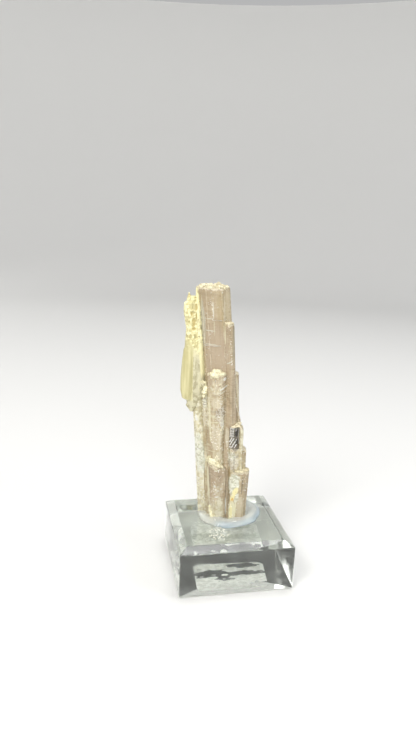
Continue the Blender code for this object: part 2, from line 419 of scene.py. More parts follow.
newGroup("growth", {"Vector": "Around", "Color": "Light Deep Glint", "Float": "Streaks Bands Lined"},
         growthNodes)
newGroup("flecks", {"Vector": "Place", "Color": "Under Glint Hollow", "Float": "Amount"}, fleckNodes)
newGroup("rim", {"Vector": "Wear Place", "Color": "Under Crust", "Float": "Reach Edges"}, rimNodes)
newGroup("patch", {"Vector": "Place Middle Radii Turn", "Color": "Under Over",
                   "Float": "Rough Ragged Amount"}, patchNodes)
newGroup("grains", {"Vector": "Place", "Color": "Light Dark", "Float": "Size"}, grainNodes)
newGroup("handling", {"Vector": "Place", "Float": "Polished Dull"}, handlingNodes)


def grainsAt(place, size, light, dark):
    return useGroup("grains", {"Place": place, "Size": size, "Light": light, "Dark": dark})


def patchOver(place, rough, under, over, middle, radii, lean, ragged, amount):
    return useGroup("patch", {
        "Place": place, "Middle": metresOf(middle), "Radii": tuple(side * mm for side in radii),
        "Turn": (0, math.radians(lean), -clusterTurn), "Under": under, "Over": over,
        "Rough": rough, "Ragged": ragged, "Amount": amount})["Colour"]


# Crystals: feet and tips (across, deep) in millimetres, heights above the deck

crystalSettings = {
    "footHeight": 0.1,
    "faces": 12,
    "uneven": 0.075,
    "footShare": 0.9,
    "corner": 46,            # the higher, the crisper the edges between prism faces
    "aroundStep": 0.14,
    "alongStep": 1.8,
    "milkyStep": 0.4,        # the same for crystals with a sugary surface
    "sugar": 0.3,
    "groove": 0.07,
    "tipReach": 2.4,         # how far below the tip the surface is chipped and finely divided
    "tipRows": 12,
    "capRings": 8,
    "outlineSteps": 1440,
    "edgeBand": (0.955, 1.0),    # from which closeness of two faces an edge gets a pale line, partly worn and partly painted highlight
    "leastColumns": 44,
    "milkyFrom": 0.75,
    "ridge": 0.1,
    "rimInset": 0.16,        # the rim of a tip: set in, crumbled, and how far below the tip
    "crumble": 0.55,
    "chipReach": 1.1,
    "relief": 0.26,          # the tip's face: its relief, drop and rounding
    "capDrop": 0.12,
    "rounded": 0.22,
}
# foot, tip, tip height, half width and half depth, cuts of the tip, and looks: how milky, how
# warm, how strongly lined across
crystals = {
    "tall": ((0.3, 2.6), (-6.15, 2.4), 66.95, (4.45, 4.0), (0.0, 0.02), (0.1, 0.35, 0.25)),
    "right_rib": ((2.0, 0.2), (-1.6, 0.0), 57.6, (1.5, 1.7), (-0.1, 0.1), (0.2, 0.3, 0.3)),
    "right_back": ((2.4, 3.2), (0.1, 3.0), 43.4, (1.6, 2.0), (0.0, 0.0), (0.3, 0.7, 0.2)),
    "right_slant": ((2.2, 2.2), (1.4, 2.0), 34.5, (1.6, 1.5), (-3.4, 0.0), (0.2, 0.5, 0.3)),
    "right_step": ((3.2, 1.6), (3.0, 1.4), 22.2, (1.8, 2.4), (-0.35, 0.0), (0.35, 0.8, 0.3)),
    "right_foot": ((2.5, 0.1), (2.85, 0.0), 15.8, (3.15, 2.5), (0.0, 0.05), (0.15, 0.5, 0.5)),
    "centre": ((-3.25, 0.4), (-4.15, -0.5), 44.2, (2.8, 2.2), (0.05, 0.15), (0.35, 0.5, 1.0)),
    "centre_foot": ((-2.65, -0.4), (-3.4, -0.9), 17.6, (2.6, 2.2), (-0.4, 0.2), (0.25, 0.25, 1.0)),
    "left_inner": ((-5.4, 1.8), (-7.3, 1.0), 39.2, (1.25, 1.7), (0.1, 0.1), (0.45, 0.7, 1.0)),
    "left_foot": ((-6.6, 2.8), (-8.8, 2.2), 29.4, (1.55, 1.9), (0.25, 0.1), (0.9, 0.6, 0.2)),
    "left_grey": ((-7.0, 3.4), (-10.0, 2.2), 47.6, (1.55, 2.2), (0.2, 0.1), (0.8, 0.8, 0.4)),
    "back_tall": ((-0.8, 5.4), (-4.9, 6.2), 53.5, (2.4, 2.0), (0.1, -0.15), (0.1, 0.5, 0.3)),
    "back_left": ((-4.6, 5.4), (-8.4, 6.2), 40.5, (1.9, 1.8), (0.1, -0.1), (0.4, 0.6, 0.4)),
    "back_right": ((3.0, 4.8), (1.5, 5.6), 25.2, (1.9, 1.9), (-0.1, -0.2), (0.2, 0.4, 0.4)),
    "back_low": ((0.4, 6.4), (0.0, 7.4), 17.5, (2.0, 1.6), (0.0, -0.2), (0.1, 0.3, 0.6)),
    "back_stub": ((-3.4, 6.4), (-4.3, 7.4), 11.2, (1.8, 1.5), (0.15, -0.1), (0.3, 0.5, 0.5)),
    "back_corner": ((-6.2, 5.0), (-7.6, 5.8), 20.4, (1.5, 1.5), (0.2, -0.1), (0.7, 0.8, 0.2)),
    "right_frame": ((3.1, 0.2), (3.15, -0.25), 28.7, (0.6, 1.6), (-0.9, 0.1), (0.5, 0.9, 0.2)),
    "right_root": ((1.9, 0.3), (1.3, 0.0), 22.8, (2.05, 2.25), (-0.1, 0.15), (0.5, 0.7, 0.9)),
}
gem = ((1.6, 0.2), (1.2, -0.25), 29.1, (1.5, 2.15), (-0.12, 0.32), (0.0, 0.0, 0.0))
gemOrder = 4


def prismOutline(order, half, count):
    # points round a prism at even steps of arc length. Face k lies at angle 30k degrees, at the
    # distance h_k where it touches the ellipse, a little uneven; the outline's radius at an angle
    # is the smooth least of h_k / cos(angle - 30k), taken as a power mean with a high power
    settings = crystalSettings
    faces = np.arange(settings["faces"])
    faceAngle = math.tau * faces / settings["faces"]
    reach = np.hypot(half[0] * np.cos(faceAngle), half[1] * np.sin(faceAngle))
    uneven = 1 + settings["uneven"] * np.sin(2.7 * faces + 1.9 * order)
    reach = reach * np.where(faces % (settings["faces"] // 2) == 0, 1, uneven)
    angle = anglesRound(settings["outlineSteps"])
    share = np.clip(np.cos(angle[:, None] - faceAngle) / reach, 0, None)
    power = settings["corner"]
    radius = (share ** power).sum(axis=1) ** (-1 / power)
    ranked = np.sort(share, axis=1)
    edge = smoothStep(*settings["edgeBand"], ranked[:, -2] / ranked[:, -1])
    outline = np.stack([radius * np.cos(angle), radius * np.sin(angle), edge], -1)
    even, walked = evenSteps(outline, count)
    ring = even[:-1, :2]
    ahead = np.roll(ring, -1, axis=0) - np.roll(ring, 1, axis=0)
    outward = np.stack([ahead[:, 1], -ahead[:, 0]], -1)
    return ring, outward / np.linalg.norm(outward, axis=1, keepdims=True), walked, even[:, 2]


def crystalMesh(order, foot, tip, height, half, cut, looks):
    # the outline carried from foot to tip, widening from the foot share to its full size. Ridges
    # along it are noise that hardly changes upwards, with a groove where it crosses zero; near the
    # tip the rim crumbles inwards, and the last rings shrink to the tip's middle over a rough face
    settings = crystalSettings
    low, tipReach, capRings = (settings[key] for key in ("footHeight", "tipReach", "capRings"))
    milk, warm, lined = looks
    foot, tip = np.asarray(foot), np.asarray(tip)
    count = max(settings["leastColumns"], int(math.pi * (half[0] + half[1]) / settings["aroundStep"]))
    ring, outward, walked, edge = prismOutline(order, half, count)
    length = height - low
    milky = milk > settings["milkyFrom"]
    stride = settings["milkyStep"] if milky else settings["alongStep"]
    climb = np.concatenate([
        [0], np.linspace(0, length - tipReach, max(4, int((length - tipReach) / stride))),
        length - tipReach * (1 - np.linspace(0, 1, settings["tipRows"] + 1)[1:]) ** 1.2,
        np.full(capRings, length)])
    rows = len(climb)
    along = climb / length
    onCap = np.arange(rows) >= rows - capRings
    onSide = (~onCap & (np.arange(rows) > 0))[:, None]
    inward = np.ones(rows)
    inward[0] = 0
    inward[-capRings:] = 1 - np.linspace(0, 1, capRings + 1)[1:] ** 0.8
    width = settings["footShare"] + (1 - settings["footShare"]) * along
    spot = ring[None] * (inward * width)[:, None, None]
    upGrid, aroundGrid = np.broadcast_arrays(climb[:, None], walked[None, :-1])
    streak = np.stack([aroundGrid, upGrid / 45, np.full_like(aroundGrid, order * 7.3)], -1)
    ridge = settings["ridge"] * smoothNoise(streak, 1.15, 11 + order, 2)
    ridge = ridge - settings["groove"] * smoothStep(0.25, 0.0, np.abs(smoothNoise(streak, 0.9, 47 + order)))
    place = np.concatenate([spot, upGrid[..., None]], -1) + order * 13.7
    if milky:
        ridge = ridge + settings["sugar"] * (0.3 - np.abs(smoothNoise(place, 0.9, 71, 3)))
    crumble = settings["crumble"] * np.clip(smoothNoise(place, 1.3, 5, 3) + 0.15, 0, 1)
    nearTip = smoothStep(settings["chipReach"], 0, length - climb)[:, None]
    chip = (settings["rimInset"] + crumble) * nearTip ** 2
    spot = spot + outward * ((ridge - chip) * onSide)[..., None]
    capShare = np.where(onCap, inward, 1)[:, None]
    spot = np.where(onCap[:, None, None], spot[rows - capRings - 1] * capShare[..., None], spot)
    middle = foot + (tip - foot) * along[:, None]
    level = low + along[:, None] * (height + spot @ np.asarray(cut) - low)
    capPlace = np.concatenate([spot, np.zeros_like(level)[..., None]], -1) + order * 5.1
    relief = settings["relief"] * smoothNoise(capPlace, 1.5, 5, 4) - settings["capDrop"]
    relief = relief - settings["rounded"] * smoothStep(0.75, 1.0, capShare)
    level = level + (along == 1)[:, None] * relief
    return ringMesh(ontoBase(np.concatenate([spot + middle[:, None], level[..., None]], -1)), {
        "alongCrystal": (walked / 10, climb[:, None] / 10 + order * 3),
        "wear": ((length - climb[:, None]) / 10, edge),
        "nature": (milk, warm),
        "lined": (lined, 0),
    })


def buildCrystals(material):
    pieces = [addPiece("crystal_" + name, crystalMesh(order + (order >= gemOrder), *sizes), material)
              for order, (name, sizes) in enumerate(crystals.items())]
    others = bpy.data.collections.new("crystalsToJoin")
    for piece in pieces[1:]:
        others.objects.link(piece)
    join = pieces[0].modifiers.new("join", "BOOLEAN")
    join.operation = "UNION"
    join.solver = "EXACT"
    join.operand_type = "COLLECTION"
    join.collection = others
    joined = finishedMesh(pieces[0])
    for piece in pieces[1:]:
        bpy.data.objects.remove(piece, do_unlink=True)
    bpy.data.collections.remove(others)
    showPiece("tourmaline_crystals", joined, material, 32)


tourmalineSettings = {
    "shader": {"Transmission Weight": 0.3, "IOR": 1.63, "Roughness": 0.25},
    "absorption": ((0.93, 0.84, 0.62), 80.0),
    "streaks": 0.45,
    "bands": 0.65,
    "rimReach": 0.07,        # centimetres of crust below a tip
    "edges": 0.32,
    "flecks": 0.75,
}
# grain size, light and dark colour
grainyColours = {
    "sugar": (0.0008, (0.95, 0.93, 0.73), (0.62, 0.57, 0.36)),
    "frost": (0.0006, (0.88, 0.90, 0.77), (0.56, 0.56, 0.42)),
    "glitter": (0.0004, (0.92, 0.91, 0.84), (0.2, 0.18, 0.14)),
}
# middle on the cluster's axes, radii, lean in degrees, raggedness, colour and strength
patches = (
    # the tall crystal
    ((-8.5, -0.6, 57.0), (0.75, 2.5, 7.0), 5, 0.9, "pearl", 0.75),
    ((-3.4, -1.0, 61.0), (1.6, 3.0, 6.0), 5, 0.8, "honeyDeep", 0.5),
    ((-4.6, -1.0, 47.0), (3.8, 2.5, 10.0), 5, 0.9, "blush", 0.45),
    ((-4.6, -1.0, 48.5), (3.6, 2.5, 11.0), 5, 0.9, "blushDeep", 0.42),
    ((-5.85, -1.6, 61.0), (0.12, 1.2, 2.4), 4, 1.0, "white", 0.6),
    ((-5.4, -1.6, 56.2), (0.12, 1.2, 2.4), 4, 1.0, "cream", 0.6),
    ((-6.5, -1.6, 51.8), (2.3, 1.5, 0.14), -5, 0.6, "milk", 0.6),
    ((-6.6, -1.6, 55.5), (1.6, 1.5, 0.14), -4, 0.6, "milk", 0.7),
    ((-6.9, -1.6, 58.7), (1.4, 1.5, 0.13), 0, 0.8, "milk", 0.5),
    ((-6.5, -1.6, 65.2), (2.0, 1.5, 0.22), 2, 0.5, "umber", 0.25),
    ((-2.5, -1.4, 54.8), (0.17, 1.2, 3.2), 4, 0.8, "cream", 0.7),
    # painted highlight: cream lines down the left edge, where the light from the left catches it
    ((-9.5, 0.6, 57.0), (0.5, 2.2, 10.0), 6, 0.5, "cream", 0.85),
    ((-8.2, 0.4, 45.5), (0.4, 2.2, 5.5), 5, 0.5, "cream", 0.75),
    ((-2.0, 0.8, 61.5), (1.0, 3.2, 5.5), 4, 0.9, "wheat", 0.75),
    ((-2.9, -1.2, 61.5), (0.14, 1.5, 5.0), 4, 0.8, "sand", 0.8),
    ((-3.5, -1.3, 61.5), (0.12, 1.5, 5.0), 4, 0.8, "honeyDeep", 0.6),
    # the rib on its right
    ((-0.8, -1.5, 47.1), (1.1, 2.0, 0.16), 32, 0.8, "milk", 0.6),
    # painted shade: olive darkens the rib's right side face
    ((-0.15, -0.4, 51.5), (0.42, 1.2, 7.0), 3, 0.3, "shadeOlive", 0.5),
    ((0.4, -1.5, 36.5), (0.3, 1.0, 8.0), 2, 0.5, "umber", 0.35),
    ((-0.7, -1.7, 25.3), (0.8, 1.4, 3.6), 3, 0.7, "sand", 0.85),
    # the thin one behind the rib
    # painted shade: olive darkens the rib's right side and the gap beside it
    ((0.85, 0.8, 37.2), (0.4, 1.4, 6.5), 4, 0.4, "shadeOlive", 0.6),
    ((1.85, 1.2, 37.0), (0.4, 1.4, 6.5), 8, 0.4, "sand", 0.8),
    # the middle crystal
    ((-2.0, -2.0, 42.4), (0.45, 3.0, 0.5), 30, 0.4, "white", 0.9),
    ((-2.6, -2.0, 41.0), (1.4, 3.0, 0.15), 26, 0.4, "umber", 0.45),
    ((-2.3, -2.0, 39.9), (1.3, 3.0, 0.24), 26, 0.4, "white", 0.85),
    ((-2.5, -2.0, 38.8), (1.5, 3.0, 0.13), 16, 0.4, "milk", 0.6),
    ((-5.4, -2.4, 40.4), (0.8, 2.0, 0.14), -50, 0.4, "umber", 0.45),
    ((-5.6, -2.4, 39.8), (0.8, 2.0, 0.15), -50, 0.4, "milk", 0.5),
    ((-3.9, -2.5, 37.9), (1.7, 1.2, 0.16), 4, 0.4, "umber", 0.35),
    ((-3.9, -2.5, 34.6), (1.8, 1.2, 0.14), 4, 0.4, "umber", 0.3),
    ((-3.7, -2.5, 28.4), (1.8, 1.2, 0.16), -4, 0.4, "milk", 0.5),
    ((-3.6, -2.5, 24.0), (1.8, 1.2, 0.14), 4, 0.4, "milk", 0.5),
    ((-2.5, -2.4, 32.4), (1.7, 1.2, 2.6), 0, 1.1, "glitter", 0.45),
    ((-2.1, -2.4, 29.6), (0.7, 1.2, 1.4), 0, 1.4, "white", 0.5),
    ((-3.8, -2.5, 25.5), (1.9, 1.2, 4.0), 4, 1.4, "sand", 0.7),
    ((-3.9, -2.5, 35.6), (1.6, 1.2, 1.6), 0, 1.4, "sand", 0.7),
    ((-5.7, -1.2, 30.5), (0.36, 1.4, 7.5), 4, 0.9, "cream", 0.7),
    # the left ones
    ((-7.5, -0.8, 35.0), (0.8, 1.2, 1.8), 0, 1.0, "milk", 0.7),
    ((-7.6, -0.8, 36.2), (0.7, 1.2, 0.14), 5, 0.5, "umber", 0.8),
    ((-7.5, -0.8, 35.3), (0.6, 1.2, 0.13), -5, 0.5, "umber", 0.8),
    ((-7.4, -0.8, 34.5), (0.6, 1.2, 0.12), 5, 0.5, "umber", 0.7),
    ((-7.3, -0.8, 33.8), (0.6, 1.2, 0.12), 0, 0.5, "umber", 0.6),
    ((-7.3, -0.8, 30.8), (0.75, 1.2, 2.8), 4, 1.2, "sand", 0.6),
    ((-9.75, 0.4, 30.2), (0.5, 1.6, 1.1), 8, 1.2, "white", 0.8),
    ((-8.5, 0.6, 19.5), (1.7, 2.4, 6.6), 7, 0.9, "frost", 0.95),
    # the middle foot
    ((-3.1, -2.6, 13.5), (1.9, 1.2, 3.0), 0, 1.2, "blushDeep", 0.35),
    # painted shadow: a dark line just inside the left edge; the cream line on the edge is a painted
    # highlight
    ((-5.15, -2.0, 13.6), (0.2, 1.4, 3.8), 3, 0.3, "umber", 0.75),
    ((-5.6, -1.6, 11.6), (0.32, 1.4, 6.2), 5, 0.3, "cream", 0.95),
    ((-3.9, -2.2, 1.0), (1.2, 2.2, 4.8), 20, 0.6, "cream", 0.95),
    ((-2.7, -2.6, 3.8), (2.3, 2.0, 4.6), 0, 1.2, "sand", 0.6),
    ((-2.4, -2.6, 4.2), (1.5, 1.4, 3.6), 0, 2.0, "sugar", 0.6),
    ((-3.7, -2.8, 11.2), (0.34, 0.8, 0.34), 0, 0.5, "white", 1.0),
    ((-2.9, -2.8, 8.0), (0.5, 0.8, 0.2), 10, 0.6, "white", 1.0),
    ((-2.7, -2.8, 9.9), (0.5, 0.8, 0.14), -10, 1.2, "white", 0.8),
    ((-0.35, -1.8, 4.6), (0.24, 1.4, 3.8), 2, 0.4, "white", 1.0),
    # the right foot
    ((1.6, -2.2, 11.9), (1.75, 1.6, 3.5), -8, 0.9, "frost", 1.0),
    ((2.15, -2.4, 9.6), (0.75, 1.2, 1.6), -24, 0.5, "straw", 1.0),
    ((1.5, -2.4, 7.9), (0.6, 1.2, 1.9), -16, 0.4, "straw", 1.0),
    ((1.35, -2.4, 6.8), (0.38, 1.2, 1.0), -12, 0.4, "rust", 0.9),
    ((2.6, -2.4, 7.6), (0.55, 1.2, 1.8), -10, 0.9, "frost", 0.8),
    ((1.4, -2.4, 3.0), (1.25, 1.6, 4.0), 0, 0.5, "cream", 1.0),
    ((1.1, -2.4, 3.0), (0.5, 1.6, 2.6), 0, 0.9, "straw", 0.8),
    ((3.7, -2.3, 4.6), (1.1, 1.2, 4.0), -3, 0.6, "sand", 0.6),
    ((2.35, -2.4, 3.6), (0.24, 1.2, 3.6), -3, 0.4, "cream", 0.95),
    ((4.1, -1.8, 12.0), (0.26, 1.4, 3.4), -2, 0.5, "umber", 0.85),
    ((4.9, -1.4, 11.0), (0.6, 1.6, 1.6), 0, 1.2, "umber", 0.35),
    ((3.0, -2.3, 15.0), (1.5, 1.2, 0.35), 0, 1.2, "umber", 0.35),
    # under and beside the clear one
    ((0.6, -1.8, 20.2), (1.5, 1.2, 1.3), 0, 1.3, "frost", 0.8),
    ((1.0, -1.8, 18.0), (1.9, 1.2, 1.8), 0, 1.4, "glitter", 0.4),
    ((2.2, -1.8, 20.3), (0.5, 1.2, 0.5), 0, 0.9, "umber", 0.6),
)


def crystalMaterial():
    settings = tourmalineSettings
    material, shader, place = newMaterial("tourmaline", settings)
    milk, warm = partsOf(mapOf(shader, "nature"))[:2]
    light, deep = (blend(warm, colourOf["blush" + kind], colourOf["honey" + kind]) for kind in ("", "Deep"))
    growth = useGroup("growth", {
        "Around": mapOf(shader, "alongCrystal"), "Light": light, "Deep": deep, "Glint": colourOf["cream"],
        "Streaks": settings["streaks"], "Bands": settings["bands"],
        "Lined": partsOf(mapOf(shader, "lined"))[0]})
    grainy = {name: grainsAt(place, *look) for name, look in grainyColours.items()}
    cloudy = ramp(plus(milk, times(minus(growth["Cloud"], 0.5), 1.6)), 0.25, 0.75)
    colour = blend(times(cloudy, 0.85), growth["Colour"], grainy["sugar"]["Colour"])
    rough = noiseAt(place, (1300, 1300, 900), 4, 0.65)
    overs = colourOf | {name: grains["Colour"] for name, grains in grainy.items()}
    for middle, radii, lean, ragged, over, amount in patches:
        colour = patchOver(place, rough, colour, overs[over], middle, radii, lean, ragged, amount)
    flecks = useGroup("flecks", {"Place": place, "Under": colour, "Glint": colourOf["white"],
                                 "Hollow": colourOf["umber"], "Amount": settings["flecks"]})
    rim = useGroup("rim", {
        "Wear": mapOf(shader, "wear"), "Place": place, "Under": flecks["Colour"],
        "Crust": colourOf["sand"], "Reach": settings["rimReach"], "Edges": settings["edges"]})
    dull = larger(rim["Mask"], times(cloudy, 0.5))
    fillInputs(shader, {"Base Color": rim["Colour"], "Roughness": ramp(dull, 0.0, 1.0, 0.18, 0.6)})
    grainHeight = times(grainy["sugar"]["Height"], ramp(dull, 0.0, 1.0, 0.3, 1.5))
    addBump(shader, plus(growth["Height"], grainHeight), 0.00009)
    return material


gemSettings = {
    "shader": {"Transmission Weight": 0.95, "IOR": 1.63, "Roughness": 0.04},
    "absorption": ((0.93, 0.9, 0.8), 40.0),
    "clear": (0.93, 0.91, 0.86),
    "smoke": (0.03, 0.03, 0.028),
}
# smoky spots: middle, radii, lean, raggedness and strength
gemSmoke = (
    ((0.9, -2.2, 26.0), (2.2, 3.0, 3.6), 0, 0.5, 0.3),
    ((1.85, -2.2, 27.3), (0.6, 2.5, 1.2), 0, 0.5, 0.98),
    ((1.95, -2.2, 24.7), (0.55, 2.5, 1.0), -20, 0.5, 0.97),
)


def gemMaterial():
    settings = gemSettings
    material, shader, place = newMaterial("clearTourmaline", settings)
    colour = settings["clear"]
    rough = noiseAt(place, (800, 800, 600), 4, 0.65)
    for spot in gemSmoke:
        colour = patchOver(place, rough, colour, settings["smoke"], *spot)
    rim = useGroup("rim", {"Wear": mapOf(shader, "wear"), "Place": place, "Under": colour,
                           "Crust": colourOf["cream"], "Reach": 0.05, "Edges": 0.4})
    fillInputs(shader, {"Base Color": rim["Colour"], "Roughness": ramp(rim["Mask"], 0.0, 1.0, 0.05, 0.55)})
    addBump(shader, noiseAt(mapOf(shader, "alongCrystal"), (40, 0.7, 1)), 0.00004)
    return material


# Healed cracks inside the crystals, and flakes of the same white stuff on them: rows of white lines on the
# clear crystal, elsewhere painted glints where the faces sparkle

veilSettings = {
    "thick": 0.035,
    "flakeStep": 0.09,
    "shader": {"Roughness": 0.35, "Transmission Weight": 0.3, "IOR": 1.3},
}
# middle on the cluster's axes, radii, and turns in degrees
veils = (
    ((-5.4, 0.2, 58.4), (3.2, 1.6), (6, -2, 0)),
    ((-5.2, 0.2, 51.6), (3.4, 1.7), (7, -1, 0)),
    ((-3.1, -1.5, 38.8), (1.2, 0.9), (18, 16, 0)),
    ((-3.5, -1.4, 33.0), (1.6, 0.9), (22, 4, 0)),
)
# painted glints, white flakes on the faces: middle (across, height), half across, half up, number, size
glints = (
    ((-0.75, 51.0), 0.16, 5.0, 26, 0.13),
    ((-6.1, 60.8), 0.12, 2.6, 12, 0.12), ((-6.8, 62.8), 0.5, 0.5, 5, 0.11),
    ((-2.8, 32.0), 1.5, 2.6, 26, 0.12), ((-3.5, 25.5), 1.8, 3.8, 26, 0.15),
    ((-3.9, 37.0), 1.5, 1.6, 10, 0.12), ((-7.4, 34.8), 0.7, 2.0, 14, 0.16),
    ((-7.2, 30.0), 0.7, 2.4, 12, 0.15), ((-9.0, 22.0), 1.3, 7.0, 70, 0.2),
    ((-8.0, 9.0), 1.3, 7.0, 70, 0.22), ((-3.0, 10.0), 1.7, 4.2, 18, 0.14),
    ((-3.0, 15.8), 1.6, 0.8, 12, 0.17), ((0.7, 20.4), 1.3, 1.8, 24, 0.18),
    ((3.9, 19.5), 0.8, 2.4, 10, 0.15), ((1.6, 11.5), 1.4, 3.0, 20, 0.17),
    ((4.9, 11.0), 0.7, 4.0, 16, 0.15), ((0.4, 24.6), 0.5, 1.0, 8, 0.16),
    ((1.2, 3.4), 0.6, 2.4, 14, 0.16),
)
# rows of flakes on the clear crystal: across and height of both ends, and the flakes' size
gemLines = (
    (0.1, 25.9, 0.1, 28.5, 0.12), (0.5, 25.9, 0.5, 28.5, 0.1), (0.9, 25.9, 0.9, 28.4, 0.1),
    # the row at 2.45 across, down the right edge, is a painted highlight
    (1.3, 27.9, 1.3, 28.6, 0.07), (1.7, 27.9, 1.7, 28.6, 0.07), (2.45, 23.9, 2.4, 28.4, 0.09),
    (0.0, 28.4, 1.2, 28.4, 0.09), (0.0, 27.7, 1.1, 27.7, 0.07), (0.0, 27.0, 1.1, 27.0, 0.07),
    (0.0, 26.3, 1.2, 26.3, 0.08), (0.0, 24.4, 0.6, 25.7, 0.16), (0.1, 23.4, 1.15, 25.6, 0.17),
    (0.65, 23.0, 1.5, 24.7, 0.16), (1.35, 22.9, 1.9, 24.0, 0.14), (0.0, 22.9, 0.7, 22.9, 0.17),
    (1.6, 24.8, 2.0, 25.6, 0.08),
)


def buildGlints(material):
    # flat crumbs of few faces where rays from the front meet the crystals: at random around the listed
    # middles as painted glints, and in rows along the lines
    rng = np.random.default_rng(31)
    depsgraph = bpy.context.evaluated_depsgraph_get()
    crystalFaces, gemFaces = (BVHTree.FromObject(bpy.data.objects[name], depsgraph)
                              for name in ("tourmaline_crystals", "clear_crystal"))
    ahead = Vector(ontoBase((0, 1, 0)) - ontoBase((0, 0, 0)))
    front, lean = -12, -0.09                     # rays start here; the crystals lean by this share
    flakes = []
    for middle, across, up, number, size in glints:
        for spread in rng.uniform(-1, 1, (number, 2)):
            aside = spread[0] * across + lean * spread[1] * up
            spot = (middle[0] + aside, front, middle[1] + spread[1] * up)
            flakes.append((crystalFaces, spot, size * rng.uniform(0.4, 1.0, 3) * (1, 0.5, 0.75)))
    for *ends, size in gemLines:
        start, end = np.array(ends[:2]), np.array(ends[2:])
        for share in np.arange(0, 1, veilSettings["flakeStep"] / np.linalg.norm(end - start)):
            across, up = start + share * (end - start) + 0.02 * rng.normal(size=2)
            flakes.append((gemFaces, (across, front, up), size * rng.uniform(0.5, 1.0, 3) * (1, 0.5, 1)))
    meshes = []
    for faces, spot, radii in flakes:
        hit = faces.ray_cast(Vector(metresOf(spot)), ahead)[0]
        if hit is not None:
            middle, turn = offBase(np.array(hit) / mm), (0, rng.uniform(0, 3), 0)
            meshes.append(ballMesh(middle, radii, 5, 7, blocky, turn))
    showPiece("crust_glints", joinedMesh(meshes), material, 20)


def buildVeils(material):
    meshes = []
    for order, (middle, radii, turn) in enumerate(veils):
        def swell(outward, order=order):
            return 0.35 * smoothNoise(outward + order * 3.1, 0.5, 21, 2)
        meshes.append(ballMesh(middle, (*radii, veilSettings["thick"]), 7, 28, swell, np.radians(turn)))
    showPiece("healed_cracks", joinedMesh(meshes), material)


def veilMaterial():
    material, shader, place = newMaterial("healedCracksAndGlints", veilSettings)
    speckle = ramp(noiseAt(place, (2600, 2600, 2600), 3, 0.6), 0.35, 0.65)
    fillInputs(shader, {"Base Color": blend(speckle, (0.8, 0.76, 0.68), (0.97, 0.97, 0.95))})
    return material


# Crust: the pale crystal on the left side, pitted above, and crumbly lumps on the tips

crustSettings = {
    "rowStep": 0.22,
    "columns": 84,
    "blockSize": 0.62,       # a block's share of its lump's least radius
    "blockLimits": (0.3, 0.85),
    "blockNumber": 1.8,
    "core": 0.78,            # the share of a lump that is solid under its blocks
    "voxel": 0.13,
    "grainSize": 0.8,
    "grainHeight": 0.17,
    "pitSize": 1.2,
    "smallPits": 0.75,
    "pitDepth": 0.45,
    "pitsFrom": 50.5,        # the side crystal is pitted above this height
    "shader": {"Roughness": 0.55, "IOR": 1.5},
    "shares": ("side", "rust", "hollow", "smooth", "glassy", "edge", "tone"),
    "border": (-8.0, -0.09, 41.3),   # its right side: across, lean, and the height of that place
    "capFrom": 65.8,
}
# between which heights, or places across where a name begins with "to", its looks change
crustFades = {
    "sideFoot": (30, 32),
    "sideTop": (67.2, 66.6),
    "toCap": (-10.0, -10.4),
    "prismFoot": (34.8, 36.5),
    "prismTop": (52.5, 49.5),
    "toPrism": (-10.7, -11.1),
    "litEdgeFoot": (41, 44),
}
# bodies of the side crystal: middle in depth, squareness, and rows of height, left and right
# reach and half the depth
crustBodies = {
    "body": (1.7, 0.7, (
        (31.8, -11.6, -10.6, 0.6), (33.4, -12.3, -9.6, 1.2), (36.0, -12.8, -8.1, 1.8),
        (41.3, -13.0, -7.7, 2.1), (48.0, -13.2, -8.0, 2.3), (50.2, -13.5, -8.1, 2.5),
        (53.6, -13.25, -8.4, 2.6), (55.4, -13.1, -8.6, 2.5), (60.0, -13.9, -9.0, 2.4),
        (62.3, -13.9, -9.3, 2.1), (62.8, -13.5, -9.6, 1.9))),
    "shoulder": (1.6, 0.7, (
        (58.0, -13.1, -10.2, 1.5), (63.4, -13.05, -10.3, 1.4), (64.2, -12.3, -10.6, 0.9))),
    "spike": (1.4, 0.9, (
        (61.5, -13.3, -11.6, 0.9), (64.0, -13.0, -12.1, 0.5), (65.2, -12.7, -12.5, 0.12))),
    "edge": (1.55, 0.8, (
        (58.0, -10.3, -9.1, 0.9), (64.0, -10.8, -9.65, 0.9), (66.9, -10.75, -9.9, 1.1))),
    "prism": (0.5, 0.75, (
        (35.2, -12.0, -11.4, 0.4), (36.0, -13.8, -11.1, 1.0), (38.4, -14.3, -10.9, 1.4),
        (42.0, -14.3, -10.8, 1.6), (46.5, -14.0, -10.9, 1.6), (49.5, -13.7, -11.3, 1.2),
        (51.6, -13.1, -12.0, 0.5))),
    "tail": (1.2, 0.9, (
        (32.6, -12.0, -11.2, 0.4), (33.8, -12.8, -11.0, 0.5), (34.7, -12.1, -11.0, 0.5))),
}
